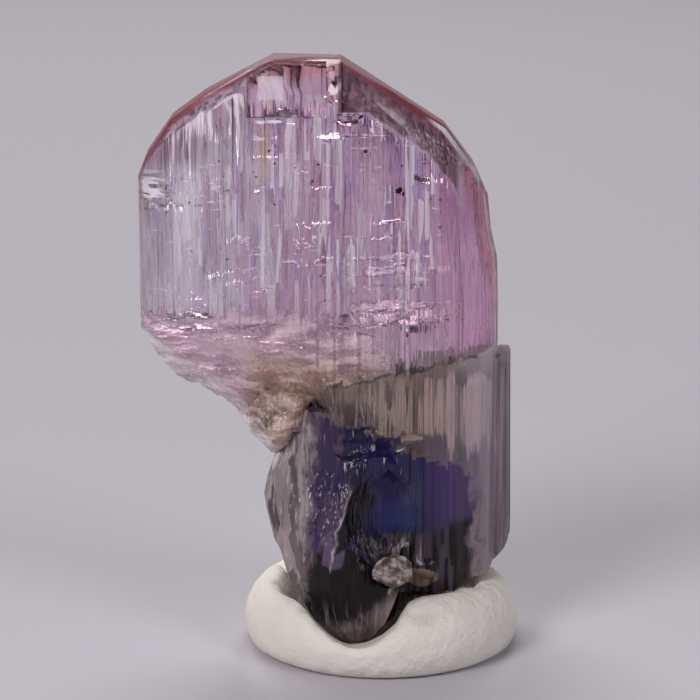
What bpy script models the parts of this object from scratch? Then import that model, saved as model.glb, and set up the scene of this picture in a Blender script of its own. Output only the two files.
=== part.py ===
# A natural tanzanite crystal standing in a pressed disc of white putty.
#
# The crystal is one grown piece. Its upper half is a lilac tabular prism with growth steps along
# its broad faces and a many-sided termination. Its lower half carries a violet-blue overgrowth
# behind and to the right, and a broken lobe that is pushed into the putty. A pale mineral grain
# sits on the foot of the crystal.
#
# X runs to the right across the broad face, Y runs back through the thickness and Z is up.
# The origin is the centre of the putty's flat underside.

import math
import random

import bmesh
import bpy
from mathutils import Vector, noise
from mathutils.bvhtree import BVHTree

MM = 0.001  # sizes below are in millimetres, and each vertex is placed in metres

# Driving sizes of the crystal, in millimetres
LEFT_SIDE = -9.6
RIGHT_SIDE = 4.64
HALF_THICKNESS = 1.8  # of the lilac plate, each way from Y = 0
TOP_HEIGHT = 23.85
LEDGE_HEIGHT = 11.0  # where the violet overgrowth starts, behind the middle of the plate
OVERGROWTH_BACK = 3.7
FOOT_HEIGHT = 2.5  # the underside of the plate and the overgrowth, over the putty
LOBE_TIP = 0.55

# Driving sizes of the putty disc, in millimetres
PUTTY_RADIUS = 5.57
PUTTY_HEIGHT = 3.0
CONTACT_GAP = 0.3  # left free between the crystal and what it touches

SEED = 11


def metres(point):
    """A point given in millimetres, in metres."""
    return Vector(point) * MM


def between(value, stops):
    """The value that a table of (position, value) stops gives at a position, in straight runs."""
    if value <= stops[0][0]:
        return stops[0][1]
    for (low, first), (high, last) in zip(stops, stops[1:]):
        if value <= high:
            return first + (last - first) * (value - low) / (high - low)
    return stops[-1][1]


def material(name, colour, roughness, transmission=0.0):
    """A Principled material for one sub-part."""
    made = bpy.data.materials.new(name)
    made.use_nodes = True
    shader = made.node_tree.nodes["Principled BSDF"]
    shader.inputs["Base Color"].default_value = (*colour, 1.0)
    shader.inputs["Roughness"].default_value = roughness
    shader.inputs["Metallic"].default_value = 0.0
    shader.inputs["Transmission Weight"].default_value = transmission
    shader.inputs["IOR"].default_value = 1.69 if transmission else 1.45
    return made


def new_object(name, bm):
    """An object that takes over a finished bmesh."""
    bmesh.ops.recalc_face_normals(bm, faces=bm.faces)
    bmesh.ops.triangulate(bm, faces=bm.faces)
    mesh = bpy.data.meshes.new(name)
    bm.to_mesh(mesh)
    bm.free()
    obj = bpy.data.objects.new(name, mesh)
    bpy.context.scene.collection.objects.link(obj)
    return obj


def combine(body, tool, operation):
    """Joins a shape to the body, or cuts it away, and removes the shape."""
    step = body.modifiers.new(tool.name, "BOOLEAN")
    step.operation = operation
    step.object = tool
    step.solver = "EXACT"
    bpy.context.view_layer.update()
    graph = bpy.context.evaluated_depsgraph_get()
    mesh = bpy.data.meshes.new_from_object(body.evaluated_get(graph))
    body.modifiers.clear()
    old = body.data
    body.data = mesh
    bpy.data.meshes.remove(old)
    bpy.data.objects.remove(tool)


def loft(rings):
    """A closed bmesh through rings of (x, y, z) points, which all hold the same number."""
    bm = bmesh.new()
    rows = [[bm.verts.new(metres(point)) for point in ring] for ring in rings]
    count = len(rings[0])
    for lower, upper in zip(rows, rows[1:]):
        for i in range(count):
            j = (i + 1) % count
            bm.faces.new((lower[i], lower[j], upper[j], upper[i]))
    bm.faces.new(reversed(rows[0]))
    bm.faces.new(rows[-1])
    return bm


def cut_facet(bm, first, second, third, inside):
    """Cuts a flat crystal face through three points and keeps the side that holds the inside point."""
    origin = metres(first)
    normal = (metres(second) - origin).cross(metres(third) - origin).normalized()
    if normal.dot(metres(inside) - origin) > 0:
        normal.negate()
    cut = bmesh.ops.bisect_plane(
        bm,
        geom=bm.verts[:] + bm.edges[:] + bm.faces[:],
        plane_co=origin,
        plane_no=normal,
        clear_outer=True,
    )
    rim = [item for item in cut["geom_cut"] if isinstance(item, bmesh.types.BMEdge)]
    if rim:
        bmesh.ops.contextual_create(bm, geom=rim)


def growth_steps(start, end, rng, widest, depth):
    """Points across one prism face. Each strip is a flat growth step, tilted a little, and each point
    is (x, y, outward x, outward y, offset, lowest height, highest height)."""
    along = Vector(end) - Vector(start)
    length = along.length
    along.normalize()
    out = Vector((along.y, -along.x))
    points = []
    place = 0.0
    riser = 0.03
    while place < length - riser:
        width = min(rng.uniform(0.25, 1.0) * widest, length - place - riser)
        offset = rng.uniform(-1.0, 0.35) * depth
        tilt = rng.uniform(-0.05, 0.05) * width
        low = rng.choice((0.0, 0.0, rng.uniform(12.0, 15.0)))
        high = rng.choice((30.0, 30.0, rng.uniform(18.0, 21.0)))
        for edge, lean in ((place, -tilt), (place + width, tilt)):
            spot = Vector(start) + along * edge
            points.append((spot.x, spot.y, out.x, out.y, offset + lean, low, high))
        place += width + riser
    return points


def striated_section(corners, faces, seed):
    """The points of a prism's cross-section, with growth steps on each side of its outline."""
    rng = random.Random(seed)
    section = []
    for (start, end), (widest, depth) in zip(zip(corners, corners[1:] + corners[:1]), faces):
        section += growth_steps(start, end, rng, widest, depth)
    return section


def ring_at(section, height, shift, still):
    """One ring of a striated prism. Its right side moves by the shift, which fades out towards the X
    position that stays still, and a step fades away above and below the stretch where it grew."""
    ring = []
    for x, y, out_x, out_y, offset, low, high in section:
        relief = offset if low <= height <= high else 0.15 * offset
        share = max(0.0, min(1.0, (x - still) / 4.0))
        ring.append((x + out_x * relief + shift * share, y + out_y * relief, height))
    return ring


# The lilac plate

PLATE_CORNERS = [
    (-8.45, -1.74),
    (-3.2, -1.88),
    (2.9, -1.76),
    (3.96, -1.12),
    (4.48, -0.38),
    (RIGHT_SIDE, 0.42),
    (4.36, 1.06),
    (3.5, 1.62),
    (-2.4, 1.86),
    (-8.3, 1.76),
    (-9.2, 1.32),
    (LEFT_SIDE, 0.62),
    (LEFT_SIDE, -0.55),
    (-9.3, -1.2),
]
# For each side of the plate, the widest growth step and how deep the steps are
PLATE_FACES = [
    (0.42, 0.16),
    (0.42, 0.15),
    (0.5, 0.03),
    (0.45, 0.04),
    (0.4, 0.03),
    (0.4, 0.03),
    (0.5, 0.05),
    (0.5, 0.14),
    (0.5, 0.14),
    (0.4, 0.05),
    (0.4, 0.03),
    (0.5, 0.03),
    (0.4, 0.03),
    (0.4, 0.06),
]
PLATE_LEVELS = (FOOT_HEIGHT - 0.5, 6.5, 10.0, 12.5, 14.2, 15.8, 16.9, 18.4, 20.0, 22.0, TOP_HEIGHT + 1.0)
# How far the right side of the plate steps in as it rises
RIGHT_SIDE_STEPS = [(13.5, 0.0), (15.6, -0.03), (16.9, -0.32), (18.4, -0.48), (25.0, -0.55)]

# The outline of the plate's upper end, as (x, height), from the left side over the top to the right
CROWN = [
    (-9.6, 19.2),
    (-9.28, 20.04),
    (-8.28, 21.47),
    (-6.88, 22.49),
    (-4.28, TOP_HEIGHT),
    (-1.64, TOP_HEIGHT - 0.06),
    (2.44, 21.14),
    (3.6, 19.59),
    (4.12, 18.45),
]
CROWN_HALF_WIDTH = 0.98  # of the narrow faces along that outline
# How far the broad faces are bevelled down below each stretch of the crown, at the front and back
CROWN_DROPS = [
    (0.5, 0.6),
    (0.5, 0.9),
    (0.55, 0.7),
    (0.6, 1.3),
    (0.75, 0.8),
    (1.35, 1.0),
    (0.9, 0.9),
    (0.5, 0.6),
]
# The two large facets at the front of the top, left and right of a narrow rib: each is a wedge with
# its sides along X and its outline in (y, height)
WINDOW_SIDES = (-5.28, -2.2)
WINDOW_WEDGE = [(-0.98, 25.0), (-0.98, 23.8), (-1.3, 22.6), (-1.62, 21.75), (-2.6, 21.6), (-2.6, 25.0)]
SHOULDER_SIDES = (-1.62, 3.0)
SHOULDER_WEDGE = [(-0.72, 25.0), (-0.72, 24.2), (-1.3, 22.95), (-1.78, 21.8), (-2.6, 21.6), (-2.6, 25.0)]


def termination():
    """The flat faces that end the plate at the top: each is three points on it."""
    facets = []
    for ((x1, z1), (x2, z2)), drops in zip(zip(CROWN, CROWN[1:]), CROWN_DROPS):
        facets.append(((x1, 0.0, z1), (x2, 0.0, z2), (x1, 1.0, z1)))
        for side, drop in zip((-1, 1), drops):
            edge = side * CROWN_HALF_WIDTH
            wall = side * HALF_THICKNESS
            facets.append(((x1, edge, z1), (x2, edge, z2), (x1, wall, z1 - drop)))
    return facets


def wedge(name, x1, x2, outline):
    """A block between two X positions, with an outline in (y, height)."""
    return new_object(name, loft([[(x, y, z) for y, z in outline] for x in (x1, x2)]))


def lilac_plate():
    """The tabular prism, full height, with its termination cut."""
    section = striated_section(PLATE_CORNERS, PLATE_FACES, SEED)
    bm = loft([ring_at(section, height, between(height, RIGHT_SIDE_STEPS), 0.5) for height in PLATE_LEVELS])
    for first, second, third in termination():
        cut_facet(bm, first, second, third, (-2.5, 0.0, 12.0))
    body = new_object("lilac_plate", bm)
    combine(body, wedge("window", *WINDOW_SIDES, WINDOW_WEDGE), "DIFFERENCE")
    combine(body, wedge("shoulder", *SHOULDER_SIDES, SHOULDER_WEDGE), "DIFFERENCE")
    return body


# Broken surfaces

def ripple(x, y, seed):
    """The relief of a shell-like break, in millimetres: curved waves with chips between them."""
    warp = 0.9 * noise.noise(Vector((x * 0.45, y * 0.45, seed)))
    wave = math.sin((y * 0.9 + x * 0.25 + warp) * 2.6)
    chips = noise.noise(Vector((x * 1.3, y * 1.3, seed + 5.0)))
    return 0.12 * wave + 0.24 * chips


def height_solid(name, span_x, span_y, base, surface, spacing):
    """A block whose upper side follows surface(x, y), for cutting away what lies inside it."""
    (x1, x2), (y1, y2) = span_x, span_y
    across = round((x2 - x1) / spacing)
    deep = round((y2 - y1) / spacing)
    bm = bmesh.new()
    rows = []
    for j in range(deep + 1):
        y = y1 + (y2 - y1) * j / deep
        row = []
        for i in range(across + 1):
            x = x1 + (x2 - x1) * i / across
            row.append(bm.verts.new(metres((x, y, surface(x, y)))))
        rows.append(row)
    for j in range(deep):
        for i in range(across):
            bm.faces.new((rows[j][i], rows[j][i + 1], rows[j + 1][i + 1], rows[j + 1][i]))
    rim = [edge for edge in bm.edges if edge.is_boundary]
    walls = bmesh.ops.extrude_edge_only(bm, edges=rim)
    foot = [item for item in walls["geom"] if isinstance(item, bmesh.types.BMVert)]
    for vertex in foot:
        vertex.co.z = base * MM
    edges = [edge for edge in bm.edges if edge.is_boundary]
    bmesh.ops.contextual_create(bm, geom=edges)
    return new_object(name, bm)


# Where the underside break leaves the front and the back of the plate, as (x, height)
BREAK_FRONT = [
    (-9.7, 13.6),
    (-8.3, 13.8),
    (-6.9, 13.95),
    (-5.3, 13.5),
    (-3.7, 13.1),
    (-2.9, 12.4),
    (-2.3, 11.3),
    (-1.9, 10.2),
]
BREAK_BACK = [
    (-9.7, 12.5),
    (-8.9, 11.0),
    (-8.4, 10.4),
    (-7.1, 9.85),
    (-6.2, 9.3),
    (-5.7, 8.7),
    (-5.2, 7.95),
    (-4.4, 7.4),
    (-1.9, 5.5),
]


def underside_break():
    """The shell-like break that leaves the plate overhanging on the left."""

    def surface(x, y):
        share = (y + HALF_THICKNESS) / (2 * HALF_THICKNESS)
        share = max(-0.3, min(1.3, share))
        front, back = between(x, BREAK_FRONT), between(x, BREAK_BACK)
        return front + (back - front) * share + ripple(x, y * 1.6, 3.0)

    return height_solid("underside_break", (-10.6, -1.9), (-2.6, 2.6), 0.0, surface, 0.3)


# The violet overgrowth behind the plate

OVERGROWTH_CORNERS = [
    (-3.2, 0.6),
    (4.2, -0.2),
    (4.95, 0.12),
    (5.22, 0.75),
    (5.16, 2.3),
    (4.5, 3.25),
    (2.7, OVERGROWTH_BACK),
    (-1.2, 3.62),
    (-3.1, 2.9),
    (-3.9, 1.7),
]
OVERGROWTH_FACES = [
    (1.4, 0.0),
    (0.3, 0.04),
    (0.3, 0.05),
    (0.4, 0.08),
    (0.4, 0.10),
    (0.5, 0.12),
    (0.5, 0.14),
    (0.5, 0.12),
    (0.5, 0.10),
    (0.5, 0.06),
]
OVERGROWTH_LEVELS = (2.3, 5.0, 7.5, 10.0, 13.5)
OVERGROWTH_SHIFTS = [(2.0, 0.0), (6.0, 0.06), (12.0, -0.04)]
# The ledge's line across the crystal, as (x, height above the ledge's own)
LEDGE_LINE = [
    (-4.0, -1.0),
    (-2.7, -0.7),
    (-1.5, -0.5),
    (0.0, 0.0),
    (0.7, 0.45),
    (1.4, 0.2),
    (2.3, 0.35),
    (3.2, 0.75),
    (4.2, 0.3),
    (4.8, 0.85),
]


def violet_overgrowth():
    """The darker prism that grew round the back and right of the plate's lower half."""
    section = striated_section(OVERGROWTH_CORNERS, OVERGROWTH_FACES, SEED + 1)
    rings = [
        ring_at(section, height, between(height, OVERGROWTH_SHIFTS), 1.0)
        for height in OVERGROWTH_LEVELS
    ]
    body = new_object("violet_overgrowth", loft(rings))

    def ledge(x, y):
        rough = noise.noise(Vector((x * 2.1, y * 2.1, 8.0)))
        return LEDGE_HEIGHT + between(x, LEDGE_LINE) - 0.45 * max(0.0, y - HALF_THICKNESS) + 0.22 * rough

    above = height_solid("above_ledge", (-4.8, 6.0), (-0.9, 4.6), LEDGE_HEIGHT + 4.0, ledge, 0.3)
    combine(body, above, "DIFFERENCE")
    return body


# The broken lobe at the lower left: the corners of its cross-section at each height, in the order
# front ridge, left ridge, left side, back left, back right, right side, front right
LOBE_SECTIONS = [
    (
        LOBE_TIP,
        [(-1.1, -2.35), (-1.35, -2.2), (-1.5, -2.0), (-1.4, -1.6), (-0.9, -1.5), (-0.7, -1.8), (-0.8, -2.2)],
    ),
    (
        0.8,
        [(-1.2, -2.8), (-1.8, -2.55), (-2.1, -2.0), (-1.8, -1.0), (-0.5, -0.9), (-0.1, -1.7), (-0.4, -2.5)],
    ),
    (1.4, [(-1.3, -3.1), (-2.2, -2.75), (-2.75, -1.8), (-2.3, -0.3), (-0.3, 0.1), (0.5, -1.2), (0.1, -2.6)]),
    (2.9, [(-1.75, -3.0), (-3.0, -2.45), (-3.78, -1.0), (-3.2, 1.3), (0.0, 1.7), (1.0, -0.9), (0.7, -2.6)]),
    (4.7, [(-1.9, -2.75), (-3.2, -2.3), (-4.55, -0.2), (-3.9, 2.2), (0.3, 2.9), (1.5, 0.0), (0.6, -2.2)]),
    (5.9, [(-1.45, -2.5), (-3.45, -1.9), (-4.8, 0.2), (-4.0, 2.6), (0.4, 3.2), (1.5, 0.5), (0.3, -1.9)]),
    (7.4, [(-0.95, -2.1), (-3.5, -1.5), (-4.35, 0.4), (-3.7, 2.5), (0.2, 2.9), (1.4, 0.5), (0.5, -1.7)]),
    (9.8, [(-1.2, -1.75), (-2.9, -1.2), (-3.2, 0.4), (-2.8, 1.7), (0.0, 2.0), (1.0, 0.5), (0.4, -1.6)]),
]
LOBE_LEVELS = (LOBE_TIP, 0.8, 1.4, 2.1, 2.9, 3.6, 4.2, 4.7, 5.3, 5.9, 6.6, 7.4, 8.5, 9.8)
LOBE_STRIPS = 6  # long chips across each side of the lobe


def lobe_corners(height):
    """The corners of the lobe's cross-section at any height."""
    corners = []
    for k in range(len(LOBE_SECTIONS[0][1])):
        x = between(height, [(level, points[k][0]) for level, points in LOBE_SECTIONS])
        y = between(height, [(level, points[k][1]) for level, points in LOBE_SECTIONS])
        corners.append(Vector((x, y)))
    return corners


def broken_lobe():
    """A mass with flat, splintered sides, which ends below in a blunt point."""
    rings = []
    for height in LOBE_LEVELS:
        corners = lobe_corners(height)
        ring = []
        for k, (start, end) in enumerate(zip(corners, corners[1:] + corners[:1])):
            along = end - start
            out = Vector((-along.y, along.x)).normalized()
            for i in range(LOBE_STRIPS):
                share = i / LOBE_STRIPS
                streak = noise.noise(Vector((k * 3.7 + share * 6.0, height * 0.2, 2.0)))
                chip = noise.noise(Vector((k * 3.7 + share * 3.0, height * 1.3, 9.0)))
                relief = (0.34 * streak + 0.12 * chip) * min(1.0, along.length / 1.5)
                spot = start + along * share + out * relief
                ring.append((spot.x, spot.y, height))
        rings.append(ring)
    return new_object("broken_lobe", loft(rings))


def rough_ball(name, centre, radii, relief, detail, seed, coarse):
    """An ellipsoid with a broken surface."""
    bm = bmesh.new()
    bmesh.ops.create_icosphere(bm, subdivisions=detail, radius=1.0)
    for vertex in bm.verts:
        way = vertex.co.normalized()
        rough = noise.noise(way * coarse + Vector((seed, 0.0, 0.0)))
        rough += 0.5 * noise.noise(way * coarse * 2.3 + Vector((0.0, seed, 0.0)))
        reach = 1.0 + relief * rough
        point = [centre[k] + radii[k] * way[k] * reach for k in range(3)]
        vertex.co = metres(point)
    return new_object(name, bm)


# The rough underside of the lower right, as (x, height above the foot's own)
FOOT_LINE = [(-1.0, -0.05), (2.9, 0.0), (3.4, 0.4), (4.2, 0.5), (4.9, 1.05), (5.3, 1.9)]


def foot_break():
    """A block under the lower right, which leaves its rough underside."""

    def surface(x, y):
        chips = noise.noise(Vector((x * 1.7, y * 1.7, 21.0)))
        return FOOT_HEIGHT + between(x, FOOT_LINE) + 0.25 * chips

    return height_solid("foot_break", (-2.0, 6.4), (-3.4, 5.0), 0.5, surface, 0.35)


GRAIN_CENTRE = (0.42, -3.0, 3.75)
GRAIN_RADII = (0.82, 0.55, 0.64)


def grain_shape(name, extra):
    """The pale grain's form, or the same form grown by an extra width all round."""
    radii = [radius + extra for radius in GRAIN_RADII]
    return rough_ball(name, GRAIN_CENTRE, radii, 0.2, 2, 2.5, 1.9)


def crystal():
    """The whole grown piece: plate, overgrowth and lobe in one solid, with its breaks."""
    body = lilac_plate()
    combine(body, underside_break(), "DIFFERENCE")
    combine(body, violet_overgrowth(), "UNION")
    combine(body, foot_break(), "DIFFERENCE")
    knob = rough_ball("break_knob", (-3.85, 0.75, 9.3), (1.55, 1.75, 1.4), 0.3, 3, 6.0, 2.1)
    combine(body, knob, "UNION")
    combine(body, broken_lobe(), "UNION")
    crest = rough_ball("crest", (-0.35, -2.75, 8.6), (2.3, 1.35, 0.95), 0.3, 3, 14.0, 2.2)
    combine(body, crest, "DIFFERENCE")
    hollow = rough_ball("front_hollow", (0.35, -3.05, 5.75), (1.95, 1.75, 2.45), 0.07, 3, 4.0, 1.6)
    combine(body, hollow, "DIFFERENCE")
    swelling = rough_ball("foot_swelling", (1.75, -1.55, 3.45), (0.62, 0.5, 0.5), 0.12, 2, 9.0, 2.0)
    combine(body, swelling, "UNION")
    combine(body, grain_shape("grain_seat", CONTACT_GAP), "DIFFERENCE")
    body.name = body.data.name = "tanzanite_crystal"
    body.data.materials.append(material("tanzanite", (0.52, 0.34, 0.56), 0.06, 0.9))
    return body


def pale_grain():
    """A small whitish grain of another mineral, on the foot of the crystal."""
    grain = grain_shape("calcite_grain", 0.0)
    grain.data.materials.append(material("pale_grain", (0.72, 0.68, 0.63), 0.45))
    return grain


# The putty disc

PUTTY_SEGMENTS = 72
# The disc's side, from the edge of its flat underside up, as (radius, height)
PUTTY_SIDE = [(5.1, 0.0), (5.42, 0.2), (5.55, 0.6), (PUTTY_RADIUS, 1.05), (5.5, 1.5), (5.28, 1.95)]
PUTTY_TUCK = 0.3  # below this height the side isn't pressed or dented
# The radii of the rings on top, and the low dome that the top follows, as (radius, height)
PUTTY_RINGS = (5.0, 4.62, 4.2, 3.85, 3.5, 3.15, 2.8, 2.4, 2.0, 1.6, 1.2, 0.7)
PUTTY_DOME = [(0.0, PUTTY_HEIGHT), (3.0, PUTTY_HEIGHT), (4.0, 2.85), (4.65, 2.55), (5.0, 2.28), (5.3, 1.9)]
# At the front the putty is pressed down round the foot of the crystal: for each X, its height where
# the slope would meet Y = 0. It rises towards the front edge.
PRESS_LINE = [
    (-4.3, 4.2),
    (-3.9, 3.1),
    (-3.3, 1.7),
    (-2.7, 0.95),
    (-2.1, 0.4),
    (-1.55, 0.05),
    (-1.1, -0.05),
    (-0.5, 0.08),
    (0.1, 0.4),
    (0.65, 0.9),
    (0.95, 1.6),
    (1.5, 1.85),
    (2.95, 2.1),
    (3.5, 2.45),
    (4.3, 2.6),
    (4.9, 3.3),
]
PRESS_SLOPE = 0.25


def putty_height(x, y, height):
    """The putty's height at a place whose undisturbed height is given."""
    pressed = between(x, PRESS_LINE) - PRESS_SLOPE * y + 3.0 * max(0.0, y + 1.3)
    blend = 0.15  # the two surfaces meet in a rounded crease
    overlap = max(0.0, blend - abs(pressed - height))
    low = min(pressed, height) - overlap**2 / (4 * blend)
    return low + 0.05 * noise.noise(Vector((x * 0.9, y * 0.9, 1.0)))


def room_under(tree, x, y):
    """How high the putty may reach at a place without touching the crystal there or close by."""
    lowest = math.inf
    ways = 10
    for reach in (0.0, CONTACT_GAP, 0.5):
        for k in range(ways):
            turn = 2 * math.pi * k / ways
            start = metres((x + reach * math.cos(turn), y + reach * math.sin(turn), -1.0))
            hit = tree.ray_cast(start, Vector((0, 0, 1)))[0]
            if hit:
                lowest = min(lowest, hit.z / MM)
    return lowest - CONTACT_GAP


def putty_base(stone):
    """The round disc of white putty in which the crystal stands, with the hollow that it left."""
    corners = [v.co for v in stone.data.vertices]
    tree = BVHTree.FromPolygons(corners, [p.vertices for p in stone.data.polygons])
    rings = []
    for radius, height in PUTTY_SIDE + [(radius, between(radius, PUTTY_DOME)) for radius in PUTTY_RINGS]:
        ring = []
        for i in range(PUTTY_SEGMENTS):
            turn = 2 * math.pi * i / PUTTY_SEGMENTS
            x, y = radius * math.cos(turn), radius * math.sin(turn)
            if height > PUTTY_TUCK:
                height_here = min(putty_height(x, y, height), room_under(tree, x, y))
            else:
                height_here = height
            ring.append((x, y, height_here))
        rings.append(ring)
    disc = new_object("putty_base", loft(rings))
    disc.data.materials.append(material("putty", (0.62, 0.56, 0.52), 0.7))
    return disc


def main():
    for obj in list(bpy.data.objects):
        bpy.data.objects.remove(obj)
    stone = crystal()
    pale_grain()
    putty_base(stone)


main()
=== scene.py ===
import math
import random
from types import SimpleNamespace

import bpy
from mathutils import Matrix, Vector


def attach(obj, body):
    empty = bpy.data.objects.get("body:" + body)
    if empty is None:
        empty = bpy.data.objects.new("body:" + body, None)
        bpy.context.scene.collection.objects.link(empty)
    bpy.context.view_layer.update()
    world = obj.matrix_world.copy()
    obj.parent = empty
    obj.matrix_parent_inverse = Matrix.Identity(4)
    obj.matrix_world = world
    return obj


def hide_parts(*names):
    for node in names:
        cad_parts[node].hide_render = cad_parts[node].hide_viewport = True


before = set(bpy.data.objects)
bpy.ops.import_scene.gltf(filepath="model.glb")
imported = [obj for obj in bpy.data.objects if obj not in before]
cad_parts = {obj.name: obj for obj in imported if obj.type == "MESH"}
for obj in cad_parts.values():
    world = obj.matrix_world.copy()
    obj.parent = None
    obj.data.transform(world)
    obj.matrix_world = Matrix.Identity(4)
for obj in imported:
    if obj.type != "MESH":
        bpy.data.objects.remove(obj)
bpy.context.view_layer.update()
mm = 0.001  # places and sizes below are in millimetres, in the frame of the solids


# small helpers

def pickOnly(*pieces):
    bpy.ops.object.select_all(action="DESELECT")
    for piece in pieces:
        piece.select_set(True)
    if pieces:
        bpy.context.view_layer.objects.active = pieces[0]


def linear(red, green, blue):  # a colour as an eye sees it, 0 to 255, for a shader
    shares = [value / 255 for value in (red, green, blue)]
    return tuple(s / 12.92 if s <= 0.04045 else ((s + 0.055) / 1.055) ** 2.4 for s in shares)


class Wire:  # one output of a material's node, so that shader maths reads as Python
    def __init__(self, finish, socket):
        self.finish = finish
        self.socket = socket

    def maths(self, operation, *values):
        return self.finish.add("ShaderNodeMath", {"operation": operation}, values)

    def __add__(self, other):
        return self.maths("ADD", self, other)

    def __sub__(self, other):
        return self.maths("SUBTRACT", self, other)

    def __rsub__(self, other):
        return self.maths("SUBTRACT", other, self)

    def __mul__(self, other):
        return self.maths("MULTIPLY", self, other)

    __radd__ = __add__
    __rmul__ = __mul__

    def low(self, other):
        return self.maths("MINIMUM", self, other)

    def high(self, other):
        return self.maths("MAXIMUM", self, other)

    def size(self):
        return self.maths("ABSOLUTE", self)

    def ramp(self, start, end):  # 0 at start and 1 at end, smooth in between
        inputs = {"Value": self, "From Min": start, "From Max": end}
        return self.finish.add("ShaderNodeMapRange", {"interpolation_type": "SMOOTHSTEP"}, inputs)

    def around(self, place, edge):  # 0 before place and 1 past it, with an edge to each side
        return self.ramp(place - edge, place + edge)

    def between(self, start, end, edge):  # 1 from start to end and 0 outside
        return self.around(start, edge) * self.around(end, -edge)


class Finish:  # one material and its nodes
    def __init__(self, name):
        self.material = bpy.data.materials.new(name)
        self.material.use_nodes = True
        self.tree = self.material.node_tree
        self.tree.nodes.clear()
        self.out = self.tree.nodes.new("ShaderNodeOutputMaterial")

    def plug(self, socket, value):
        if isinstance(value, Wire):
            self.tree.links.new(value.socket, socket)
        elif isinstance(value, (tuple, list)) and len(socket.default_value) == 4:
            socket.default_value = (*value[:3], 1.0)
        else:
            socket.default_value = value

    def add(self, kind, settings=None, inputs=(), output=0):
        node = self.tree.nodes.new(kind)
        for setting, value in (settings or {}).items():
            setattr(node, setting, value)
        pairs = inputs.items() if isinstance(inputs, dict) else enumerate(inputs)
        for place, value in pairs:
            self.plug(node.inputs[place], value)
        return Wire(self, node.outputs[output])

    def parts(self, kind, value):  # all the outputs of a node that takes a colour or vector apart
        node = self.add(kind, {}, [value]).socket.node
        return [Wire(self, socket) for socket in node.outputs]

    def place(self, stretch=(1.0, 1.0, 1.0), move=(0.0, 0.0, 0.0), turn=(0.0, 0.0, 0.0)):
        # the spot on the piece in millimetres, stretched, moved and turned for a pattern
        spot = self.add("ShaderNodeTexCoord", output="Object")
        scale = tuple(share / mm for share in stretch)
        inputs = {"Vector": spot, "Scale": scale, "Location": move, "Rotation": turn}
        return self.add("ShaderNodeMapping", {}, inputs)

    def axes(self):
        return self.parts("ShaderNodeSeparateXYZ", self.place())

    def noise(self, vector, scale=1.0, detail=2.0, roughness=0.5):
        inputs = {"Vector": vector, "Scale": scale, "Detail": detail, "Roughness": roughness}
        return self.add("ShaderNodeTexNoise", {}, inputs)

    def cells(self, vector):  # three random shares, each even within a cell
        settings = {"voronoi_dimensions": "3D", "feature": "F1", "distance": "CHEBYCHEV"}
        inputs = {"Vector": vector, "Scale": 1.0}
        colour = self.add("ShaderNodeTexVoronoi", settings, inputs, output="Color")
        return self.parts("ShaderNodeSeparateColor", colour)

    def blend(self, share, first, second):
        settings = {"data_type": "RGBA", "blend_type": "MIX"}
        return self.add("ShaderNodeMix", settings, {0: share, 6: first, 7: second}, output=2)

    def coats(self, tone, layers):  # a tone with others laid over it, each by its share
        for share, colour in layers:
            tone = self.blend(share, tone, colour)
        return tone

    def bump(self, height, distance):
        inputs = {"Height": height, "Distance": distance * mm, "Strength": 1.0}
        return self.add("ShaderNodeBump", {}, inputs)

    def shader(self, inputs):
        return self.add("ShaderNodeBsdfPrincipled", {}, inputs)

    def mix(self, share, first, second):
        return self.add("ShaderNodeMixShader", {}, [share, first, second])

    def done(self, surface, volume=None):
        self.plug(self.out.inputs["Surface"], surface)
        if volume:
            self.plug(self.out.inputs["Volume"], volume)
        return self.material


# camera, light and floor

view = {
    "target": (-1.28, 0.0, 12.04),
    "distance": 116.7,
    "elevation": 14.0,
    "lens": 150.0,
    "sensor": 36.0,
    "nearest": 10.0,
}


def setCamera():
    bpy.ops.object.camera_add()
    camera = bpy.context.object
    camera.data.lens = view["lens"]
    camera.data.sensor_width = view["sensor"]
    camera.data.clip_start = view["nearest"] * mm
    tilt = math.radians(view["elevation"])
    way = Vector((0.0, -math.cos(tilt), math.sin(tilt)))
    camera.location = (Vector(view["target"]) + way * view["distance"]) * mm
    camera.rotation_euler = way.to_track_quat("Z", "Y").to_euler()
    bpy.context.scene.camera = camera


studio = {
    "lamps": [  # place, width, depth, power in watts and colour of each soft lamp
        ((-30.0, 210.0, 270.0), 280.0, 200.0, 0.95, (1.0, 0.99, 0.98)),
        ((-200.0, -220.0, 220.0), 150.0, 150.0, 0.85, (1.0, 0.98, 0.97)),
        ((240.0, -190.0, 200.0), 130.0, 150.0, 0.40, (0.96, 0.97, 1.0)),
    ],
    "aim": (0.0, 0.0, 10.0),
    "air": (0.50, 0.485, 0.525),
    "airPower": 1.0,
    "floor": (191, 187, 195),
    "floorRoughness": 0.3,
    "floorWidth": 700.0,
    "canopyHeight": 380.0,
    "canopyWidth": 7200.0,
}


def setLamps():
    for place, width, depth, power, colour in studio["lamps"]:
        bpy.ops.object.light_add(type="AREA", location=Vector(place) * mm)
        lamp = bpy.context.object
        lamp.data.shape = "RECTANGLE"
        lamp.data.size = width * mm
        lamp.data.size_y = depth * mm
        lamp.data.energy = power
        lamp.data.color = colour
        away = Vector(place) - Vector(studio["aim"])
        lamp.rotation_euler = away.to_track_quat("Z", "Y").to_euler()


def setAir():
    world = bpy.data.worlds.new("studioAir")
    world.use_nodes = True
    air = world.node_tree.nodes["Background"]
    air.inputs["Color"].default_value = (*studio["air"], 1.0)
    air.inputs["Strength"].default_value = studio["airPower"]
    bpy.context.scene.world = world
    bpy.context.scene.view_settings.view_transform = "Standard"


def addSheet(name, width, height, finishName, inputs):
    bpy.ops.mesh.primitive_plane_add(size=width * mm, location=(0.0, 0.0, height * mm))
    sheet = bpy.context.object
    sheet.name = name
    finish = Finish(finishName)
    sheet.data.materials.append(finish.done(finish.shader(inputs)))


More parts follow.
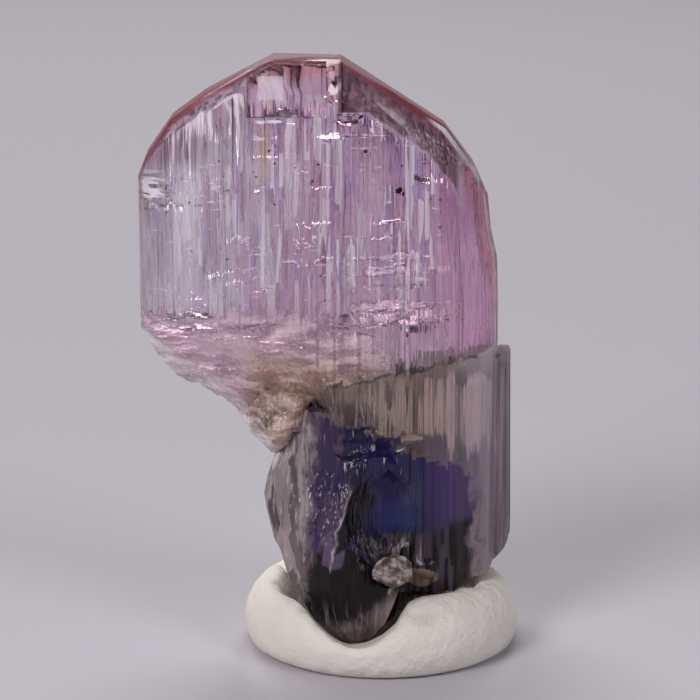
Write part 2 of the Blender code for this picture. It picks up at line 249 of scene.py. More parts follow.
def setSheets():
    pale = {"Base Color": linear(*studio["floor"]), "Roughness": studio["floorRoughness"]}
    addSheet("floor", studio["floorWidth"], 0.0, "paleTable", pale)
    # a black ceiling above the lamps, so that facets turned up look deep
    black = {"Base Color": (0.0, 0.0, 0.0), "Specular IOR Level": 0.0}
    addSheet("canopy", studio["canopyWidth"], studio["canopyHeight"], "darkCeiling", black)


setCamera()
setLamps()
setAir()
setSheets()
print("camera, lamps and floor are set")


# the crystal

crystal = {
    "ior": 1.69,
    "bodyColour": (0.80, 0.62, 0.84),
    "bodyDensity": 35.0,  # per metre
    "crownLine": [(-9.6, 19.2), (-9.28, 20.04), (-8.28, 21.47), (-6.88, 22.49), (-4.28, 23.85),
                  (-1.64, 23.79), (2.44, 21.14), (3.6, 19.59), (4.12, 18.45), (4.64, 16.0)],
    # where the zones lie: heights above the table, places from left to right
    "windowSides": (-5.28, -2.2),
    "windowFoot": 21.8,
    "ribSides": (-2.2, -1.62),
    "capLeft": -1.75,
    "capFoot": 21.9,
    "browRight": -5.25,
    "rightEdge": 2.3,
    "breakHeight": 13.9,
    "peachHeight": 12.0,
    # height of the painted sparkle along the lower left edge of the break
    "shellHeight": 8.9,
    "ledgeHeight": 11.45,
    "ledgeSlope": 0.22,
    "blueHeight": 8.45,
    "blueSlope": 0.42,
    "blueRight": 3.8,
    "violetLeft": 1.7,
    "darkHeight": 4.95,
    "lobeRight": -1.2,
    "greyRight": -2.9,
    "coreHeight": 4.35,
    "tipHeight": 2.2,
    "nub": (1.6, 3.1),
    "stripeSides": (4.05, 4.6),
    # depth of the fine relief
    "grooveDepth": 0.12,
    "creaseDepth": 0.13,
    "tones": {  # what light keeps on its way through
        "lilacLeft": (1.0, 0.88, 0.99),
        "lilacMiddle": (0.80, 0.52, 0.69),
        "lilacRight": (0.84, 0.49, 0.72),
        "rightHigh": (0.54, 0.24, 0.47),
        "darkBar": (0.30, 0.13, 0.24),
        "violetBar": (0.45, 0.36, 0.85),
        "paleBar": (1.0, 0.95, 1.0),
        "thread": (0.36, 0.2, 0.3),
        "warmBar": (1.0, 0.72, 0.42),
        "window": (0.72, 0.52, 0.66),
        "crownBand": (0.62, 0.20, 0.19),
        "brow": (0.26, 0.12, 0.22),
        "cap": (0.24, 0.07, 0.10),
        "break": (0.95, 0.62, 0.78),
        "peach": (0.66, 0.40, 0.31),
        "lower": (0.64, 0.47, 0.40),
        "lowerRight": (0.72, 0.54, 0.58),
        "lowerPale": (0.85, 0.72, 0.69),
        "lowerDark": (0.2, 0.13, 0.10),
        "lowerEdge": (1.0, 0.88, 0.97),
        "strip": (0.20, 0.11, 0.14),
        "olive": (0.40, 0.31, 0.20),
        "blue": (0.009, 0.006, 0.070),
        "royal": (0.002, 0.012, 0.14),
        "violet": (0.065, 0.030, 0.145),
        "dark": (0.005, 0.001, 0.003),
        "darkBars": (0.10, 0.07, 0.11),
        "darkChips": (0.03, 0.018, 0.03),
        "lobe": [(0.040, 0.020, 0.085), (0.11, 0.07, 0.13)],
        "lobeGrey": [(0.15, 0.115, 0.12), (0.38, 0.31, 0.32)],
        "lobeTip": [(0.05, 0.03, 0.04), (0.27, 0.21, 0.20)],
        "nub": (0.24, 0.18, 0.13),
        "line": (0.04, 0.015, 0.015),
    },
    "veils": {  # what a fracture or a rough face shows, and painted highlights, sparkle and sheen
        "streak": (0.90, 0.84, 0.92),
        "break": (0.90, 0.66, 0.77),
        "peach": (0.76, 0.56, 0.48),
        # painted sparkle at the lower left edge of the break
        "shell": (0.85, 0.80, 0.83),
        "brow": [(0.13, 0.07, 0.12), (0.50, 0.34, 0.46)],
        "cap": [(0.07, 0.022, 0.035), (0.22, 0.11, 0.16)],
        "crest": (0.22, 0.04, 0.065),
        # painted highlight along the top right rim
        "rim": (0.85, 0.78, 0.84),
        "haze": [(0.25, 0.18, 0.16), (0.46, 0.36, 0.41)],
        # painted sheen and glints on the lobe and the pale flecks
        "sheenAndHaze": (0.50, 0.43, 0.46),
    },
}


def depthUnder(x, z, line):  # how far a spot lies inside the line of the crown
    depth = None
    for (x1, z1), (x2, z2) in zip(line, line[1:]):
        length = math.hypot(x2 - x1, z2 - z1)
        across = ((z2 - z1) / length, (x1 - x2) / length)
        offset = across[0] * x1 + across[1] * z1
        reach = x * across[0] + z * across[1] - offset
        depth = reach if depth is None else depth.low(reach)
    return depth


def crystalPatterns(finish):  # the patterns and masks that both parts of the crystal read
    spot = SimpleNamespace()
    spot.x, spot.y, spot.z = finish.axes()
    spot.ragged = finish.noise(finish.place((1.1, 1.1, 1.1)), 1.0, 3.0, 0.6) - 0.5
    spot.bars = finish.cells(finish.place((1.7, 1.7, 0.24)))
    spot.slats = finish.cells(finish.place((6.0, 6.0, 0.60), (3.1, 0.0, 5.0)))
    spot.fibre = finish.noise(finish.place((7.0, 7.0, 0.20)), 1.0, 1.0, 0.6)
    spot.front = spot.y.ramp(-0.5, -1.2)
    return spot


def upperMasks(finish, spot):  # where each zone of the lilac part lies
    x, z, ragged, bars, slats = spot.x, spot.z, spot.ragged, spot.bars, spot.slats
    spot.leftShare = (x + 5.2 + (bars[0] - 0.5) * 4.0).around(0.0, -1.2)
    spot.rightShare = (x - crystal["rightEdge"] - (16.0 - z) * 0.05).around(0.0, 0.12)
    spot.depth = depthUnder(x, z, crystal["crownLine"])
    spot.window = x.between(*crystal["windowSides"], 0.04) * z.around(crystal["windowFoot"], 0.05)
    capBelow = (spot.depth - 1.05 + ragged * 0.5).around(0.0, -0.12) * x.between(-1.6, 3.0, 0.2)
    spot.cap = (z.around(crystal["capFoot"], 0.05) * x.around(crystal["capLeft"], 0.05)).high(capBelow)
    spot.brow = (spot.depth + ragged * 0.8).ramp(3.2, 0.9) * x.around(crystal["browRight"], -0.1)
    spot.brow = spot.brow * z.ramp(18.8, 20.2)
    spot.crest = (spot.depth + ragged * 0.15).ramp(0.2, 0.08)
    # painted highlight: a pale line along the top right rim stands in for a lamp's reflection
    spot.rim = (spot.depth + ragged * 0.3).ramp(0.22, 0.08) * x.ramp(1.6, 2.2) * spot.y.around(-0.75, -0.1)

    spot.streaked = (1.0 - spot.rightShare * 0.85) * (1.0 - spot.window * 0.9) * (1.0 - spot.cap * 0.6)
    spot.streaked = spot.streaked * ((z + ragged * 2.0).ramp(13.5, 16.5) * 0.6 + 0.4)
    spot.darkBar = (bars[1] * 0.6 + slats[0] * 0.4).ramp(0.40, 0.34)
    spot.darkBar = spot.darkBar * spot.streaked * (1.0 - spot.leftShare * 0.4)
    spot.paleBar = (bars[2] * 0.4 + slats[1] * 0.6).ramp(0.60, 0.67) * spot.streaked
    spot.violetBar = (slats[2] * 0.6 + bars[0] * 0.4).ramp(0.68, 0.74) * spot.streaked
    spot.thread = (spot.fibre - 0.5).ramp(-0.04, -0.14) * spot.streaked

    breakLine = z - crystal["breakHeight"] + (x + 6.0).size() * 0.05 + ragged * 1.6
    spot.broken = breakLine.around(0.0, -0.4) * (x + 0.2 + ragged * 2.5).around(0.0, -1.3)
    spot.peach = (z - crystal["peachHeight"] + (x + 2.5) * 0.12 + ragged * 1.6).around(0.0, -0.6)
    spot.peach = spot.peach * (x + ragged * 2.0).between(-5.4, 0.6, 0.7)
    # painted sparkle: whiter near the lower left edge of the break, standing in for glints
    shellLine = z - crystal["shellHeight"] + (x + 5.5) * 0.95 + ragged * 1.2
    spot.shell = shellLine.ramp(1.1, 0.1) * x.around(-3.6, -0.3)
    spot.folds = finish.noise(finish.place((0.7, 0.7, 1.7), turn=(0.0, 0.35, 0.0)), 1.0, 3.0, 0.45) - 0.5


def upperTone(finish, spot):  # lilac with upright streaks
    tones = crystal["tones"]
    x, z, ragged, slats = spot.x, spot.z, spot.ragged, spot.slats
    warmBar = x.between(-4.85, -4.35, 0.08) * (z + ragged).between(19.3, 21.3, 0.3)
    high = spot.rightShare * (z + ragged * 2.0).ramp(15.0, 19.5)
    rib = x.between(*crystal["ribSides"], 0.05) * z.ramp(22.2, 22.5)
    band = (spot.depth + ragged * 0.6 + (slats[0] - 0.5) * 0.3).ramp(0.90, 0.45).high(rib * 0.8)
    mottle = (slats[1] - 0.4 + ragged).ramp(0.1, 0.4)
    return finish.coats(tones["lilacMiddle"], [
        (spot.leftShare, tones["lilacLeft"]),
        (spot.darkBar * 0.85, tones["darkBar"]),
        (spot.violetBar * 0.6, tones["violetBar"]),
        (spot.thread * 0.35, tones["thread"]),
        (spot.paleBar * 0.75, tones["paleBar"]),
        (warmBar * 0.6, tones["warmBar"]),
        (spot.rightShare, tones["lilacRight"]),
        (high, tones["rightHigh"]),
        (spot.window * 0.7, tones["window"]),
        (band * 0.85, tones["crownBand"]),
        (spot.brow * (slats[0] + 0.35).low(0.9), tones["brow"]),
        (spot.cap * (0.85 - mottle * 0.6), tones["cap"]),
        (spot.broken, tones["break"]),
        (spot.peach, tones["peach"]),
    ])


def upperVeil(finish, spot):  # how far fractures and rough faces hide the lilac part, with painted highlights and sparkle
    x, z, ragged, slats = spot.x, spot.z, spot.ragged, spot.slats
    # painted highlight: a pale patch on the window facet stands in for a lamp's reflection, with a thin
    # pale line under it
    glint = x.between(-4.85, -3.85, 0.06) * z.between(22.35, 23.25, 0.08)
    sill = x.between(-4.9, -3.9, 0.1) * z.between(21.5, 21.62, 0.04)
    dashes = finish.noise(finish.place((0.9, 0.9, 6.0)), 1.0, 2.0, 0.5) - 0.5
    # painted highlight: pale dashed spots at the far left of the crown stand in for lamp reflections
    leftHighlight = (x + ragged * 0.6).between(-9.5, -8.35, 0.15)
    leftHighlight = leftHighlight * (z + ragged * 0.5).between(18.4, 19.8, 0.15) * dashes.ramp(-0.02, 0.06)
    veil = (glint * 0.6 * (spot.bars[1] * 0.5 + 0.5)).high(sill * 0.8).high(leftHighlight * 0.8)
    veil = veil.high((dashes + ragged * 0.4).ramp(0.17, 0.22) * 0.5 * spot.streaked)
    veil = veil.high(spot.paleBar * (slats[2] - 0.35).ramp(0.0, 0.1) * 0.35)
    veil = veil.high(spot.leftShare * z.ramp(13.0, 14.0) * 0.13)
    veil = (veil * spot.front).high(spot.rim * 0.6)
    veil = veil.high(spot.brow * 0.8).high(spot.cap * 0.8).high(spot.crest * (0.52 + ragged * 0.5))
    # fractures show pale, and whiter where sparkle is painted along the break's lower left edge
    return veil.high((spot.folds.ramp(-0.08, 0.10) * 0.45 + 0.15 + spot.shell * 0.3) * spot.broken)


def upperShader(finish, spot):
    veils = crystal["veils"]
    upperMasks(finish, spot)
    # grooves are left off the narrow faces of the crown
    broad = spot.z.ramp(17.5, 16.0).high(spot.y.size().ramp(0.95, 1.1))
    grooves = spot.fibre * spot.z.ramp(21.8, 20.6) * broad
    grooves = grooves + spot.folds * (spot.z.ramp(14.2, 13.2) * spot.x.around(0.0, -0.9)) * 5.0
    relief = finish.bump(grooves, crystal["grooveDepth"])
    clear = finish.shader({
        "Base Color": upperTone(finish, spot), "Roughness": spot.broken * 0.25 + 0.02,
        "IOR": crystal["ior"], "Specular IOR Level": 0.35, "Transmission Weight": 1.0,
        "Normal": relief,
    })
    # pale tones for fractures and rough faces, with the painted highlight on the rim and painted sparkle at
    # the break's lower left edge
    veilTone = finish.coats(veils["streak"], [
        (spot.broken, veils["break"]),
        (spot.peach, veils["peach"]),
        (spot.brow, finish.blend(spot.slats[2], *veils["brow"])),
        (spot.cap, finish.blend(spot.slats[1], *veils["cap"])),
        (spot.crest, finish.blend(spot.rim, veils["crest"], veils["rim"])),
        (spot.shell * spot.broken * 0.7, veils["shell"]),
    ])
    pale = finish.shader({
        "Base Color": veilTone, "Roughness": 0.4, "IOR": crystal["ior"], "Normal": relief,
    })
    return finish.mix(upperVeil(finish, spot), clear, pale)


def lowerMasks(finish, spot):  # where each zone of the lower part and its lobe lies
    x, y, z, ragged, slats = spot.x, spot.y, spot.z, spot.ragged, spot.slats
    spot.chips = finish.cells(finish.place((1.3, 1.3, 0.6), turn=(0.0, -0.3, 0.0)))
    spot.silk = finish.noise(finish.place((4.6, 3.4, 0.55), turn=(0.0, -0.2, 0.0)), 1.0, 2.0, 0.6) - 0.5
    spot.ledge = z - crystal["ledgeHeight"] - x * crystal["ledgeSlope"] - ragged + (slats[0] - 0.5) * 0.12
    spot.line = spot.ledge.ramp(-0.16, -0.08) * x.around(-3.2, 0.1) * spot.front
    spot.blueLine = z - crystal["blueHeight"] + (x - 0.9) * crystal["blueSlope"]
    spot.blueLine = spot.blueLine - ragged * 1.5 + (slats[1] - 0.5) * 0.5
    spot.blue = spot.blueLine.ramp(0.25, -0.2) * (x + ragged * 1.5).around(crystal["blueRight"], -0.4)
    spot.low = z - crystal["darkHeight"] - (x - crystal["violetLeft"]).high(0.0) * 0.4
    spot.low = (spot.low - ragged * 1.2).around(0.0, -0.3)
    rise = z - 3.6
    spot.fold = x + 2.04 - rise * 0.10 - rise * rise * 0.045 + ragged * 0.5  # crease across the lobe
    spot.hollow = (x + 0.4 + (z - 6.2) * (z - 6.2) * 0.4 + ragged * 0.6).around(0.0, -0.15)
    spot.hollow = spot.hollow * spot.fold.ramp(0.0, 0.15) * z.ramp(7.6, 7.0)
    spot.lobe = (x - crystal["lobeRight"] + (z - 6.0) * 0.12 + ragged * 0.6).around(0.0, -0.15)
    spot.lobe = (spot.lobe * z.around(9.6, -0.5)).high(y.around(-2.3, -0.2) * z.ramp(4.6, 4.2))
    spot.core = z - crystal["coreHeight"] + ragged * 2.5 + (spot.chips[2] - 0.5) * 0.8
    spot.core = spot.core.around(0.0, -0.3) * (x + ragged * 1.5).around(-3.05, 0.3)
    nubX = x - crystal["nub"][0]
    nubZ = z - crystal["nub"][1]
    spot.nub = (nubX * nubX + nubZ * nubZ * 2.5 + ragged).ramp(0.5, 0.3) * spot.front
    spot.painted = spot.lobe.high(spot.blue).high(spot.nub)


def deepTone(finish, spot):  # blue, violet and near black
    tones = crystal["tones"]
    x, z, ragged = spot.x, spot.z, spot.ragged
    violet = x.around(crystal["violetLeft"], 0.1) * 0.5 + x.ramp(1.5, 3.4) * 0.5
    royal = (x + ragged * 0.9).between(-0.2, 1.5, 0.3) * z.ramp(7.0, 4.9)
    return finish.coats(tones["blue"], [
        (violet, tones["violet"]),
        (royal * 0.8, tones["royal"]),
        (spot.low.high(spot.hollow), tones["dark"]),
        (spot.low * (spot.slats[0] - 0.5).ramp(0.0, 0.3) * 0.5, tones["darkBars"]),
        ((spot.bars[1] * 0.5 + spot.chips[2] * 0.5).ramp(0.55, 0.75) * 0.4, tones["darkChips"]),
    ])


def lobeTone(finish, spot):
    tones = crystal["tones"]
    x, z, ragged, chips = spot.x, spot.z, spot.ragged, spot.chips
    grey = finish.blend(chips[1].ramp(0.35, 0.65), *tones["lobeGrey"])
    tip = finish.blend(chips[2] * 0.6 + spot.silk + 0.3, *tones["lobeTip"])
    tipShare = z - crystal["tipHeight"] - x.high(-0.8) * 0.9 + ragged
    return finish.coats(finish.blend(chips[0].ramp(0.3, 0.7), *tones["lobe"]), [
        ((x - crystal["greyRight"] + ragged * 1.6).ramp(0.4, -0.3), grey),
        (spot.core.high(spot.hollow), tones["dark"]),
        (tipShare.around(0.0, -0.4), tip),
    ])


def lowerTone(finish, spot):  # grey brown over deep blue, with the lobe
    tones = crystal["tones"]
    x, slats = spot.x, spot.slats
    olive = spot.blueLine.ramp(1.6, 0.3) * x.ramp(2.6, 1.4)
    return finish.coats(tones["lower"], [
        (x.ramp(2.0, 3.6), tones["lowerRight"]),
        ((slats[1] - 0.5).ramp(0.1, 0.2) * 0.3, tones["lowerPale"]),
        ((slats[2] - 0.5).ramp(-0.1, -0.2) * 0.15, tones["lowerDark"]),
        (x.between(4.0, 4.55, 0.06) * 0.8, tones["lowerEdge"]),
        (x.around(4.65, 0.1), tones["strip"]),
        (olive * 0.8, tones["olive"]),
        (spot.blue, deepTone(finish, spot)),
        (spot.lobe, lobeTone(finish, spot)),
        (spot.nub, tones["nub"]),
        (spot.line * 0.9, tones["line"]),
    ])


def lowerVeil(spot):  # painted sheen and ridge highlights on the lobe, painted glints in pale flecks, and haze in the rest
    x, y, z, ragged, slats, silk = spot.x, spot.y, spot.z, spot.ragged, spot.slats, spot.silk
    # painted sheen: pale silky streaks on the left of the lobe and near its tip
    lobeSide = (x + 2.75 + ragged * 1.5).ramp(0.3, -0.6) * (z + ragged * 2.0).around(4.0, 0.6)
    # painted highlights along the lobe's front ridge and a ridge to its left
    ridgeHighlight = spot.fold.size().ramp(0.08, 0.02) * (silk.around(0.0, 0.1) * 0.7 + 0.3)
    ridgeHighlight = ridgeHighlight * z.between(3.7, 7.0, 0.15) * y.around(-1.6, -0.1)
    leftRidgeHighlight = (x + 3.24 + ragged * 0.4).size().ramp(0.16, 0.04) * z.between(4.8, 9.0, 0.3)
    tip = silk.ramp(0.02, 0.16) * z.ramp(2.6, 1.4)
    # painted glints: pale flecks along the top of the blue zone
    spot.flecks = silk.ramp(0.12, 0.17) * spot.blueLine.between(-1.7, -0.3, 0.2) * x.between(-2.4, 1.0, 0.3)
    stripe = x.between(*crystal["stripeSides"], 0.05) * z.ramp(11.0, 10.5) * z.ramp(3.0, 4.0)
    stripe = stripe * (slats[1] + spot.bars[2] * 0.5).ramp(0.7, 0.95) * spot.front
    haze = spot.ledge.ramp(-1.6, -0.3) * 0.35 + 0.2 + x.between(3.9, 4.6, 0.1) * 0.3
    # painted sheen and highlights on the lobe and flecks, with the pale stripe at the right and the haze
    # over the rest
    sheenAndHaze = (silk.ramp(0.0, 0.14) * lobeSide * spot.lobe * 0.8).high(ridgeHighlight * 0.8)
    sheenAndHaze = sheenAndHaze.high(leftRidgeHighlight * spot.lobe * 0.7).high(tip * spot.lobe * 0.4).high(spot.flecks * 0.8)
    sheenAndHaze = sheenAndHaze.high(stripe * 0.7).high((1.0 - spot.painted) * haze)
    return sheenAndHaze * (1.0 - spot.line * 0.8)


def lowerShader(finish, spot):
    veils = crystal["veils"]
    lowerMasks(finish, spot)
    tone = lowerTone(finish, spot)
    creases = spot.fibre * spot.x.ramp(-0.4, 0.8) * 0.14 + spot.silk * spot.x.around(0.0, -0.8) * 1.3
    relief = finish.bump(creases, crystal["creaseDepth"])
    clear = finish.shader({
        "Base Color": tone, "Roughness": spot.blue * 0.08 + 0.10, "IOR": crystal["ior"],
        "Transmission Weight": 1.0, "Normal": relief,
    })
    sheenAndHaze = lowerVeil(spot)
    # the satin face: grey brown haze, with painted sheen and glints in pale grey on the lobe and flecks
    satinTone = finish.blend(spot.x.ramp(2.0, 4.0), *veils["haze"])
    satinTone = finish.blend(spot.lobe.high(spot.flecks), satinTone, veils["sheenAndHaze"])
    satin = finish.shader({
        "Base Color": finish.blend(spot.painted * (1.0 - sheenAndHaze), satinTone, tone),
        "Roughness": 0.35, "IOR": crystal["ior"], "Specular IOR Level": 0.2, "Normal": relief,
    })
    # the dark zones are too fractured for light to cross them
    solid = spot.painted * (0.62 + (spot.core * spot.lobe).high(spot.low) * 0.3)
    return finish.mix(sheenAndHaze.high(solid), clear, satin)


def crystalFinish():
    finish = Finish("tanzanite")
    spot = crystalPatterns(finish)
    upper = upperShader(finish, spot)
    lower = lowerShader(finish, spot)
    inside = (spot.x + 2.7 + (10.3 - spot.z) * 0.52 + spot.ragged * 0.8).around(0.0, 0.1)
    both = finish.mix(spot.ledge.around(0.0, -0.05) * inside, upper, lower)
    inputs = {"Color": crystal["bodyColour"], "Density": crystal["bodyDensity"]}
    return finish.done(both, finish.add("ShaderNodeVolumeAbsorption", {}, inputs))


def copyOfNode(node, name):
    piece = bpy.data.objects.new(name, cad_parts[node].data.copy())
    bpy.context.scene.collection.objects.link(piece)
    pickOnly(piece)
    bpy.ops.mesh.customdata_custom_splitnormals_clear()
    bpy.ops.object.mode_set(mode="EDIT")
    bpy.ops.mesh.select_all(action="SELECT")
    bpy.ops.mesh.remove_doubles(threshold=0.001 * mm)
    bpy.ops.object.mode_set(mode="OBJECT")
    piece.data.materials.clear()
    return piece


flakes = {
    # middle x and z, reach in x and z, number, half length, half depth, slope
    "groups": [
        ((0.9, 14.6), (1.3, 1.7), 14, (0.5, 1.3), (0.25, 0.75), (2.0, 14.0)),
        ((-6.2, 14.8), (1.5, 2.0), 26, (0.12, 0.42), (0.12, 0.35), (-4.0, 26.0)),
        ((-0.6, 15.4), (2.4, 2.2), 30, (0.10, 0.45), (0.10, 0.35), (-4.0, 20.0)),
        ((-8.6, 18.4), (0.7, 0.7), 9, (0.2, 0.7), (0.2, 0.5), (-4.0, 8.0)),
        ((2.0, 19.3), (0.7, 0.5), 7, (0.2, 0.6), (0.2, 0.5), (-20.0, 15.0)),
        ((-1.2, 21.4), (1.2, 0.7), 9, (0.2, 0.6), (0.15, 0.4), (-10.0, 25.0)),
        ((-4.0, 18.5), (4.5, 3.5), 18, (0.08, 0.3), (0.08, 0.25), (-10.0, 20.0)),
    ],
    "seed": 5,
    "tilt": (3.0, 15.0),  # lean towards the front in degrees
    "thickness": 0.014,
    "lumps": 0.03,
    "sides": (-9.25, 4.0),  # none reaches past these places
    "plateSides": (-9.5, 4.3),
    "mostRoom": 1.6,
    "cover": 0.12,  # least stone in front of a flake
}


def roomAt(x, z):  # half thickness of the plate at a spot, thinner under its crown
    line = crystal["crownLine"]
    depths = []
    for (x1, z1), (x2, z2) in zip(line, line[1:]):
        length = math.hypot(x2 - x1, z2 - z1)
        depths.append(((z2 - z1) * (x - x1) - (x2 - x1) * (z - z1)) / length)
    left, right = flakes["plateSides"]
    atSides = 0.3 + 1.5 * min(x - left, right - x)
    return min(flakes["mostRoom"], 0.8 + 0.45 * min(depths), atSides)


def addFlake(place, length, depth, tilt, slope, seed):
    bpy.ops.mesh.primitive_ico_sphere_add(subdivisions=2, radius=mm, location=Vector(place) * mm)
    flake = bpy.context.object
    flake.scale = (length, depth, flakes["thickness"])
    bpy.ops.object.transform_apply(location=False, rotation=False, scale=True)
    flake.rotation_euler = (math.radians(tilt), math.radians(-slope), 0.0)
    bpy.ops.object.mode_set(mode="EDIT")
    bpy.ops.mesh.select_all(action="SELECT")
    offset = flakes["lumps"] * mm * min(1.0, depth * 3)
    bpy.ops.transform.vertex_random(offset=offset, seed=seed)
    bpy.ops.mesh.flip_normals()  # a void faces inwards
    bpy.ops.object.mode_set(mode="OBJECT")
    bpy.ops.object.shade_smooth()
    bpy.ops.object.transform_apply(location=True, rotation=True, scale=True)
    return flake


def buildFlakes():
    random.seed(flakes["seed"])
    left, right = flakes["sides"]
    pieces = []
    for middle, reach, number, lengths, depths, slopes in flakes["groups"]:
        for step in range(number):
            x = middle[0] + random.uniform(-1.0, 1.0) * reach[0]
            z = middle[1] + random.uniform(-1.0, 1.0) * reach[1]
            depth = random.uniform(*depths)
            length = random.uniform(*lengths)
            x = max(left + length, min(right - length, x))
            room = roomAt(x, z) - depth - flakes["cover"]
            if room < 0.0:
                continue
            y = random.uniform(-room, room)
            tilt = random.uniform(*flakes["tilt"])
            slope = random.uniform(*slopes)
            pieces.append(addFlake((x, y, z), length, depth, tilt, slope, len(pieces)))
    return pieces


def buildCrystal():
    piece = copyOfNode("tanzanite_crystal", "crystal_body")
    bpy.ops.object.mode_set(mode="EDIT")
    bpy.ops.mesh.select_all(action="SELECT")
    bpy.ops.mesh.dissolve_limited(angle_limit=math.radians(1.0))
    bpy.ops.object.mode_set(mode="OBJECT")
    bpy.ops.object.shade_smooth_by_angle(angle=math.radians(62.0))
    pickOnly(piece, *buildFlakes())
    bpy.ops.object.join()
    piece.data.materials.clear()
    piece.data.materials.append(crystalFinish())
    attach(piece, "root")
    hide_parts("tanzanite_crystal")
    return piece


stone = buildCrystal()
print("the crystal is built")


# dark specks in the stone

specks = {
    "places": [  # x, z and size of each, in the front half of the plate
        (-6.28, 21.0, 0.07), (-6.16, 20.78, 0.08), (-6.04, 20.55, 0.09), (-6.64, 20.74, 0.06),
        (-6.36, 20.0, 0.06), (-6.04, 18.84, 0.07), (-7.36, 20.4, 0.06), (-6.2, 19.4, 0.05),
        (-6.18, 18.2, 0.05), (-5.0, 19.6, 0.06), (-4.9, 19.4, 0.05), (-4.4, 20.4, 0.08),
        (-4.2, 19.9, 0.07), (-2.8, 19.2, 0.13), (-0.68, 20.36, 0.11), (0.3, 22.1, 0.06),
        (1.44, 21.56, 0.07), (0.72, 19.8, 0.07), (0.64, 18.8, 0.16), (0.8, 18.7, 0.08),
        (1.84, 18.5, 0.06), (2.2, 18.48, 0.05), (2.24, 17.4, 0.06), (-2.4, 17.6, 0.06),
        (-4.2, 18.3, 0.05), (-6.08, 16.1, 0.07), (-7.0, 22.3, 0.07), (-6.5, 22.5, 0.06),
        (-4.56, 10.4, 0.22), (-2.36, 10.9, 0.09), (-2.7, 10.2, 0.08),
    ],
    "under": 0.08,  # how far those lie under the surface
    "seed": 8,
    "loose": 40,  # smaller ones at random
    "looseSizes": (0.025, 0.055),
    "looseUnder": (0.1, 2.6),
    "looseSides": (-8.6, 3.4),
    "looseHeights": (15.0, 22.0),
    "lumps": 0.2,  # as a share of the size
    "tones": [(0.02, 0.008, 0.008), (0.05, 0.03, 0.03)],
    "roughness": 0.4,
}


def wantedSpecks():
    wanted = [(x, z, size, specks["under"]) for x, z, size in specks["places"]]
    low, high = specks["looseHeights"]
    for step in range(specks["loose"]):
        x = random.uniform(*specks["looseSides"])
        z = random.uniform(low, high - abs(x + 3.0) * 0.35)  # lower under the slanting crown
        size = random.uniform(*specks["looseSizes"])
        wanted.append((x, z, size, random.uniform(*specks["looseUnder"])))
    return wanted


def depthOfFront(stone, x, z):  # y of the first surface met from the front
    start = Vector((x, -20.0, z)) * mm
    found, place, normal, face = stone.ray_cast(start, Vector((0.0, 1.0, 0.0)))
    return place.y / mm if found else None


def addSpeck(place, size, seed):
    place = Vector(place) * mm
    bpy.ops.mesh.primitive_ico_sphere_add(subdivisions=1, radius=size * mm, location=place)
    speck = bpy.context.object
    speck.scale = (random.uniform(0.6, 1.0), 0.7, random.uniform(0.8, 1.3))
    speck.rotation_euler = [random.uniform(0.0, 3.0) for axis in range(3)]
    bpy.ops.object.mode_set(mode="EDIT")
    bpy.ops.mesh.select_all(action="SELECT")
    bpy.ops.transform.vertex_random(offset=specks["lumps"] * size * mm, seed=seed)
    bpy.ops.object.mode_set(mode="OBJECT")
    return speck


def buildSpecks(stone):
    random.seed(specks["seed"])
    spots = []
    for x, z, size, under in wantedSpecks():
        surface = depthOfFront(stone, x, z)
        if surface is not None:
            spots.append(((x, surface + size + under, z), size))
    pieces = []
    for place, size in spots:
        pieces.append(addSpeck(place, size, len(pieces)))
    pickOnly(*pieces)
    bpy.ops.object.join()
    joined = bpy.context.object
    joined.name = "dark_specks"
    bpy.ops.object.transform_apply(location=True, rotation=True, scale=True)
    finish = Finish("darkSpeck")
    tone = finish.blend(finish.noise(finish.place(), 6.0), *specks["tones"])
    surface = finish.shader({"Base Color": tone, "Roughness": specks["roughness"]})
    joined.data.materials.append(finish.done(surface))
    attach(joined, "root")


buildSpecks(stone)
print("the specks are in")


# the pale grain

grain = {
    "lumps": 0.5,
    "seed": 3,
    "tones": [(205, 192, 190), (112, 92, 88)],
    "ior": 1.6,
    "clearRoughness": 0.25,
    "sugarRoughness": 0.35,
}


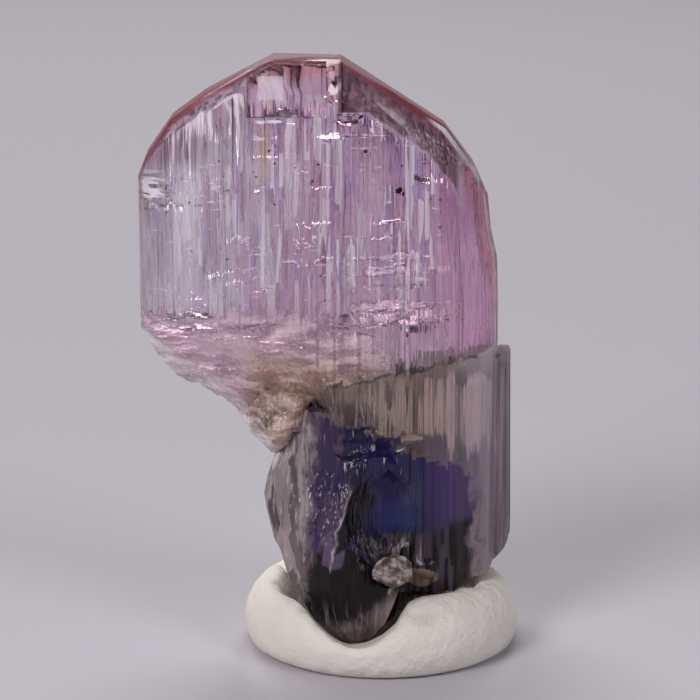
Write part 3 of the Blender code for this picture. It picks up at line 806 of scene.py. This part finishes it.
def buildGrain():
    piece = copyOfNode("calcite_grain", "pale_grain")
    bpy.ops.object.mode_set(mode="EDIT")
    bpy.ops.mesh.select_all(action="SELECT")
    bpy.ops.mesh.subdivide(number_cuts=2, smoothness=0.3, fractal=grain["lumps"], seed=grain["seed"])
    bpy.ops.object.mode_set(mode="OBJECT")
    bpy.ops.object.shade_flat()
    finish = Finish("paleGrain")
    cloud = finish.noise(finish.place(), 2.6, 4.0)
    pale, dark = [linear(*tone) for tone in grain["tones"]]
    tone = finish.blend(cloud.ramp(0.35, 0.65), pale, dark)
    clear = finish.shader({
        "Base Color": tone, "Roughness": grain["clearRoughness"], "IOR": grain["ior"],
        "Transmission Weight": 1.0,
    })
    sugar = finish.shader({"Base Color": tone, "Roughness": grain["sugarRoughness"]})
    mixed = finish.mix(cloud.ramp(0.6, 0.35) * 0.5 + 0.3, clear, sugar)
    piece.data.materials.append(finish.done(mixed))
    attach(piece, "root")
    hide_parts("calcite_grain")


buildGrain()
print("the grain is built")


# the putty

putty = {
    "tones": [(232, 226, 220), (222, 214, 207)],
    # a darker brown patch on the front of the putty, just under the crystal's knob
    "brownPatch": (170, 152, 140),
    "brownPatchPlace": (1.6, 2.3),  # x and z
    "roughness": 0.62,
    "dentDepth": 0.16,
}


def buildPutty():
    piece = copyOfNode("putty_base", "putty_disc")
    finish = Finish("putty")
    x, y, z = finish.axes()
    cloud = finish.noise(finish.place(), 0.5, 4.0)
    dents = finish.noise(finish.place(), 1.3, 4.0, 0.55)
    # darker brown towards the patch under the crystal's knob, on the front only
    acrossPatch = x - putty["brownPatchPlace"][0]
    upPatch = z - putty["brownPatchPlace"][1]
    brownPatch = acrossPatch * acrossPatch + upPatch * upPatch * 6.0 + (dents - 0.5) * 2.0
    brownPatch = brownPatch.ramp(0.6, 0.0) * y.ramp(-1.0, -2.0)
    first, second = [linear(*tone) for tone in putty["tones"]]
    tone = finish.blend(cloud, first, second)
    tone = finish.blend(brownPatch * 0.25, tone, linear(*putty["brownPatch"]))
    surface = finish.shader({
        "Base Color": tone, "Roughness": putty["roughness"],
        "Normal": finish.bump(dents, putty["dentDepth"]),
    })
    piece.data.materials.append(finish.done(surface))
    bpy.ops.object.shade_smooth()
    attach(piece, "root")
    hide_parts("putty_base")


buildPutty()
print("the putty is built")
